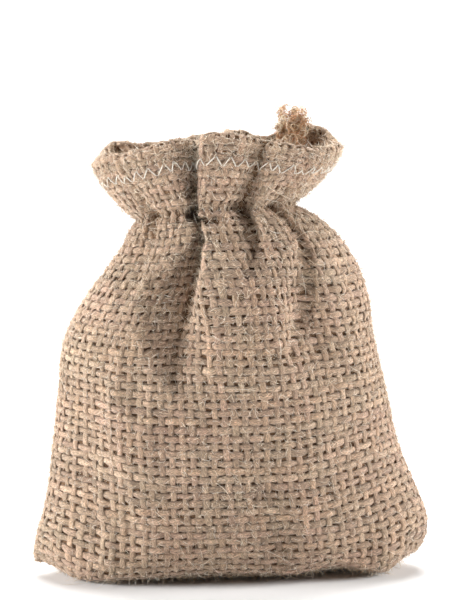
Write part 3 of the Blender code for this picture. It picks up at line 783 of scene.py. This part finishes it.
def hair_mesh(name, centre, radius, colour):
    """Thin tubes along many paths, each tapering to a point at its tip."""
    sides = HAIR_SIDES
    count, steps = centre.shape[:2]
    rings = steps - 1
    ahead = np.gradient(centre, axis=1)
    side = unit(np.cross(ahead, ASKEW))
    out = unit(np.cross(ahead, side))
    c, s = corners_of(sides)
    thick = radius[:, None] * (1.0 - HAIR_TAPER * np.linspace(0.0, 1.0, steps) ** 2)
    spoke = side[:, :rings, None] * c + out[:, :rings, None] * s
    points = centre[:, :rings, None] + spoke * thick[:, :rings, None, None]
    points = np.concatenate([points.reshape(count, -1, 3), centre[:, -1:]], axis=1)
    tip = rings * sides
    last, each = tip - sides, tip + 1
    pattern = [tuple(reversed(range(sides)))]
    for k in range(sides):
        nk = (k + 1) % sides
        pattern += [(low + k, low + nk, low + nk + sides, low + k + sides) for low in range(0, last, sides)]
        pattern.append((last + k, last + nk, tip))
    faces = [tuple(first + i for i in face) for first in range(0, count * each, each) for face in pattern]
    return tinted(name, points, faces, np.repeat(colour[:, None], each, axis=1))


def tuft(cloth, random):
    """The frayed end of the back seam: thick curled yarn ends in a cloud of loose fibres."""
    count = TUFT_YARNS + TUFT_FIBRES
    thick = np.arange(count) < TUFT_YARNS
    lean, wide, turns, radius = np.where(thick[:, None], TUFT_YARN, TUFT_FIBRE).T[..., None]
    level = cloth.end - TUFT_ROOT
    left, right = cloth.at(np.array([TUFT_FROM, TUFT_TO]), np.full(2, level))
    in_row = np.linspace(0.0, 1.0, count) * count / TUFT_YARNS
    at = np.mod(np.where(thick, in_row, random.random(count)), 1.0)
    inward = cloth.normal(np.full(count, 0.5 * (TUFT_FROM + TUFT_TO)), np.full(count, level))
    root = left + (right - left) * at[:, None]
    root = root + inward * (TUFT_IN + TUFT_DEEP * random.random(count))[:, None]
    axis = (0.0, 0.0, 1.0) + lean * random.normal(size=(count, 3))
    axis[:, 0] += TUFT_LEAN + TUFT_FAN * (0.5 - at)
    axis = unit(axis)
    side = unit(np.cross(axis, random.normal(size=(count, 3))))
    other = np.cross(axis, side)
    t = np.linspace(0.0, 1.0, TUFT_STEPS)[None, :]
    yarns_tall = TUFT_TALL * (0.7 + 0.3 * random.random(count))
    fibres_long = FIBRE_SHORT + FIBRE_MORE * random.random(count)
    tall = np.where(thick, yarns_tall, fibres_long)[:, None]
    wide = wide * (0.6 + 0.8 * random.random((count, 1)))
    turns = turns * (0.6 + 0.8 * random.random((count, 1)))
    angle = 2.0 * math.pi * (turns * t + random.random((count, 1)))
    wide = wide * eased(3.0 * t) * (1.0 + 0.3 * wander(random, count, TUFT_STEPS, 6))
    centre = root[:, None] + axis[:, None] * (tall * t)[..., None]
    centre = centre + side[:, None] * (wide * np.cos(angle))[..., None]
    centre = centre + other[:, None] * (wide * np.sin(angle))[..., None]
    # each loose fibre starts inside one of the yarn ends
    carrier = random.integers(0, TUFT_YARNS, TUFT_FIBRES)
    height = random.integers(3, TUFT_STEPS, TUFT_FIBRES)
    centre[TUFT_YARNS:] += (centre[carrier, height] - centre[TUFT_YARNS:, 0])[:, None]
    facing = np.broadcast_to(inward[:, None], centre.shape)
    across, out = yarn_frame(centre, facing, False)
    radius = radius * (0.75 + 0.5 * random.random((count, 1)))
    radius = radius * (1.0 - 0.5 * t**3) * (1.0 + 0.15 * wander(random, count, TUFT_STEPS, 4))
    tones = linear(TUFT_TONES)[random.integers(0, len(TUFT_TONES), count)][:, None]
    shade = 1.0 + 0.2 * wander(random, count, TUFT_STEPS, 6)
    tones = np.clip(tones * shade[..., None], 0.0, 1.0)
    return yarn_mesh("seam_tuft", centre, across, out, radius, radius, tones, False, sides=4)


def fuzz_and_shade_sheet(cloth):
    """The fuzz between the yarns, as a thin closed sheet from the bottom seam over the rim, coloured dark
    as painted shade seen through the gaps.
    """
    stations = np.arange(BACKING_COLUMNS) / BACKING_COLUMNS
    below = np.linspace(0.0, cloth.end - BACKING_FINE, 100)
    levels = np.concatenate([below, np.linspace(cloth.end - 0.94 * BACKING_FINE, cloth.end, 20)])
    u, v = np.meshgrid(stations, levels)
    double = eased((v - HEM_FROM) / HEM_OVER)
    grid = cloth.at(u, v) - cloth.normal(u, v) * (BACKING * (1.0 - HEM_FILLS * double))[..., None]
    rows, columns = u.shape
    half = columns // 2
    # the lowest row is the bottom seam, whose two sides share their points
    points = np.concatenate([grid[0, : half + 1], grid[1:].reshape(-1, 3)]) * MM
    index = [[min(i, columns - i) for i in range(columns)]]
    index += [[half + 1 + r * columns + i for i in range(columns)] for r in range(rows - 1)]
    faces = []
    for low, high in zip(index, index[1:]):
        for i in range(columns):
            j = (i + 1) % columns
            faces.append((low[i], low[j], high[j], high[i]))
    # this sheet carries the painted shade seen between the yarns
    mesh = bpy.data.meshes.new("cloth")
    mesh.from_pydata(points, [], faces)
    mesh.shade_smooth()
    made = placed("cloth", mesh)
    thick = made.modifiers.new("thick", "SOLIDIFY")
    thick.thickness = BACKING_THICK * MM
    thick.offset = -1.0
    bpy.context.view_layer.objects.active = made
    bpy.ops.object.modifier_apply(modifier="thick")
    return made


# ---- materials ----
FINISH = (("Specular IOR Level", 0.25), ("Sheen Roughness", 0.6))


class Look:
    """A new material and the nodes that make its colour and its relief."""

    def __init__(self, name, roughness, sheen=0.0):
        self.made = bpy.data.materials.new(name)
        self.made.use_nodes = True
        self.tree = self.made.node_tree
        self.shader = self.tree.nodes["Principled BSDF"]
        for socket, value in (("Roughness", roughness), ("Sheen Weight", sheen), *FINISH):
            self.shader.inputs[socket].default_value = value

    def feed(self, socket, value):
        """A socket set to a number, or linked to another node's output."""
        if isinstance(value, bpy.types.NodeSocket):
            self.tree.links.new(value, socket)
        else:
            socket.default_value = value

    def node(self, kind, **values):
        """A new node with some of its settings or sockets set."""
        made = self.tree.nodes.new("ShaderNode" + kind)
        for name, value in values.items():
            if hasattr(made, name):
                setattr(made, name, value)
            else:
                self.feed(made.inputs[name.replace("_", " ")], value)
        return made

    def result(self, kind, *values, **settings):
        """The result of a new node whose sockets take some values in their order."""
        made = self.node(kind, **settings)
        for socket, value in zip(made.inputs, values):
            self.feed(socket, value)
        return made.outputs[0]

    def noise(self, where=None, **values):
        """A noise over the object's own space, or over other places."""
        if where is None:
            where = self.node("TexCoord").outputs["Object"]
        return self.node("TexNoise", Vector=where, **values).outputs["Fac"]

    def ramped(self, value, low, low_colour, high, high_colour):
        """A colour that goes from one to another as the value climbs from low to high."""
        made = self.node("ValToRGB", Fac=value)
        first, last = made.color_ramp.elements
        first.position, first.color = low, (*low_colour, 1.0)
        last.position, last.color = high, (*high_colour, 1.0)
        return made.outputs["Color"]

    def times(self, colour, factor):
        """One colour times another."""
        made = self.node("Mix", data_type="RGBA", blend_type="MULTIPLY", Factor=1.0)
        self.feed(made.inputs[6], colour)
        self.feed(made.inputs[7], factor)
        return made.outputs[2]

    def winding(self, turns, along):
        """Places on a cylinder for a yarn's surface, so that a noise read there winds round the yarn."""
        split = self.node("SeparateXYZ", Vector=self.fibre()).outputs
        twist = self.result("Math", split["Y"], turns, split["X"], operation="MULTIPLY_ADD")
        angle = self.result("Math", twist, 2.0 * math.pi, operation="MULTIPLY")
        x = self.result("Math", angle, operation="COSINE")
        y = self.result("Math", angle, operation="SINE")
        z = self.result("Math", split["Y"], along, operation="MULTIPLY")
        return self.result("CombineXYZ", x, y, z)

    def fibre(self):
        """Places on a yarn's surface: share of the way round it, and millimetres along it."""
        return self.node("UVMap", uv_map="fibre").outputs["UV"]

    def tint(self):
        """The colour that each point of a yarn has."""
        return self.node("Attribute", attribute_name="yarn").outputs["Color"]

    def relief(self, height, strength, deep):
        """A relief on the surface, so many millimetres deep."""
        made = self.node("Bump", Height=height, Strength=strength, Distance=deep * MM)
        self.feed(self.shader.inputs["Normal"], made.outputs["Normal"])

    def painted(self, colour):
        """The finished material, in a colour."""
        self.feed(self.shader.inputs["Base Color"], colour)
        return self.made


def yarn_look():
    """Twisted jute: fibres wind round the yarn, some light and some dark, over patches of tone."""
    look = Look("jute_yarn", 0.9, 0.2)
    streak = look.noise(look.winding(0.10, 0.34), Scale=2.2, Detail=3.0, Roughness=0.7)
    fleck = look.noise(look.winding(-0.03, 0.30), Scale=5.0, Detail=2.0, Roughness=0.6)
    patch = look.noise(Scale=95.0, Detail=2.0)
    hue = look.ramped(patch, 0.36, (0.985, 1.0, 0.985), 0.64, (1.025, 0.985, 0.985))
    colour = look.times(look.tint(), hue)
    colour = look.times(colour, look.result("MapRange", streak, 0.34, 0.68, 0.62, 1.22))
    colour = look.times(colour, look.result("MapRange", fleck, 0.36, 0.66, 0.55, 1.45))
    look.relief(look.result("Math", streak, fleck, operation="ADD"), 0.8, 0.22)
    return look.painted(colour)


def thread_look():
    """Off-white polyester thread with a fine twist."""
    look = Look("white_thread", 0.6, 0.1)
    plies = look.node("TexWave", Vector=look.fibre(), bands_direction="DIAGONAL", Scale=1.3, Distortion=0.6)
    look.relief(plies.outputs["Fac"], 0.5, 0.05)
    return look.painted(look.tint())


def fibre_look():
    """Single loose jute fibres."""
    look = Look("jute_fibre", 0.7, 0.1)
    tone = look.result("MapRange", look.noise(Scale=1500.0), 0.0, 1.0, 0.7, 1.25)
    return look.painted(look.times(look.tint(), tone))


def fuzz_and_shade_look():
    """The fuzz between the yarns: a brown of its own, darkened as painted shade of the gaps."""
    look = Look("jute_shadow", 0.95)
    fuzz = look.noise(Scale=900.0, Detail=3.0)
    # dark browns: the fuzz's tone, darkened as painted shade between the yarns
    return look.painted(look.ramped(fuzz, 0.35, linear((78, 57, 41)), 0.70, linear((140, 111, 86))))


def floor_look():
    """White paper."""
    look = Look("white_paper", 0.9)
    grain = look.noise(Scale=300.0)
    return look.painted(look.ramped(grain, 0.0, (0.90,) * 3, 1.0, (0.93,) * 3))


# ---- camera, floor and light ----
AZIMUTH, ELEVATION = -5.0, 10.0
LENS = 168.0
DISTANCE = 0.70
AIM_X, AIM_UP = 0.0004, 0.0674  # the point aimed at: along X, and up the picture from the floor
FLOOR = 3.0  # half its size, in metres


def camera():
    a, e = math.radians(AZIMUTH), math.radians(ELEVATION)
    away = Vector((math.sin(a) * math.cos(e), -math.cos(a) * math.cos(e), math.sin(e)))
    turn = away.to_track_quat("Z", "Y")
    data = bpy.data.cameras.new("camera")
    data.lens = LENS
    data.clip_start = 0.01
    made = placed("camera", data)
    made.rotation_euler = turn.to_euler()
    aimed_at = Vector((AIM_X, 0.0, 0.0)) + (turn @ Vector((0.0, 1.0, 0.0))) * AIM_UP
    made.location = aimed_at + away * DISTANCE
    bpy.context.scene.camera = made


def floor():
    mesh = bpy.data.meshes.new("floor")
    corners = [(x * FLOOR, y * FLOOR, 0.0) for x, y in ((-1, -1), (1, -1), (1, 1), (-1, 1))]
    mesh.from_pydata(corners, [], [(0, 1, 2, 3)])
    made = placed("floor", mesh)
    mesh.materials.append(floor_look())


Lamp = namedtuple("Lamp", "name place towards size watts")
LAMPS = (
    Lamp("left", (-0.89, -0.12, 0.30), (0.0, 0.0, 0.06), 0.40, 12.6),
    Lamp("right", (0.88, -0.10, 0.34), (0.0, 0.0, 0.06), 0.40, 10.8),
    Lamp("above", (0.0, 0.45, 0.95), (0.0, 0.15, 0.0), 0.90, 20.0),
    Lamp("backdrop", (0.0, 1.70, 1.10), (0.0, 2.0, 0.0), 1.20, 26.0),
)
WORLD = 0.02


def lights():
    world = bpy.data.worlds.new("studio")
    world.use_nodes = True
    sky = world.node_tree.nodes["Background"].inputs
    sky["Color"].default_value = (1.0, 1.0, 1.0, 1.0)
    sky["Strength"].default_value = WORLD
    bpy.context.scene.world = world
    for lamp in LAMPS:
        data = bpy.data.lights.new(lamp.name, "AREA")
        data.shape = "DISK"
        data.size = lamp.size
        data.energy = lamp.watts
        made = placed(lamp.name, data)
        made.location = lamp.place
        towards = Vector(lamp.towards) - Vector(lamp.place)
        made.rotation_euler = towards.to_track_quat("-Z", "Y").to_euler()


def dress(piece, material):
    """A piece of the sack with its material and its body."""
    piece.data.materials.append(material)
    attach(piece, "root")
    return piece


def main():
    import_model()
    bpy.context.scene.view_settings.view_transform = "Standard"
    camera()
    floor()
    lights()
    random = np.random.default_rng(7)
    cloth = Cloth()
    jute, thread, fibre = yarn_look(), thread_look(), fibre_look()
    dressed = [dress(piece, jute) for piece in weave(cloth, random)]
    outside, inside = NECK_AT + HEADING - STITCH_DOWN, cloth.end - HEM + STITCH_DOWN
    for name, level in (("stitches_outside", outside), ("stitches_inside", inside)):
        dressed.append(dress(stitches(cloth, name, level, random), thread))
    for fuzz in FUZZ:
        dressed.append(dress(hairs(cloth, random, fuzz), fibre))
    end = dress(tuft(cloth, random), fibre)
    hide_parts("seam_fray")
    dressed.append(end)
    # the sheet under the yarns is coloured dark as painted shade in the gaps of the weave
    sheet = dress(fuzz_and_shade_sheet(cloth), fuzz_and_shade_look())
    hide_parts("sack")


main()
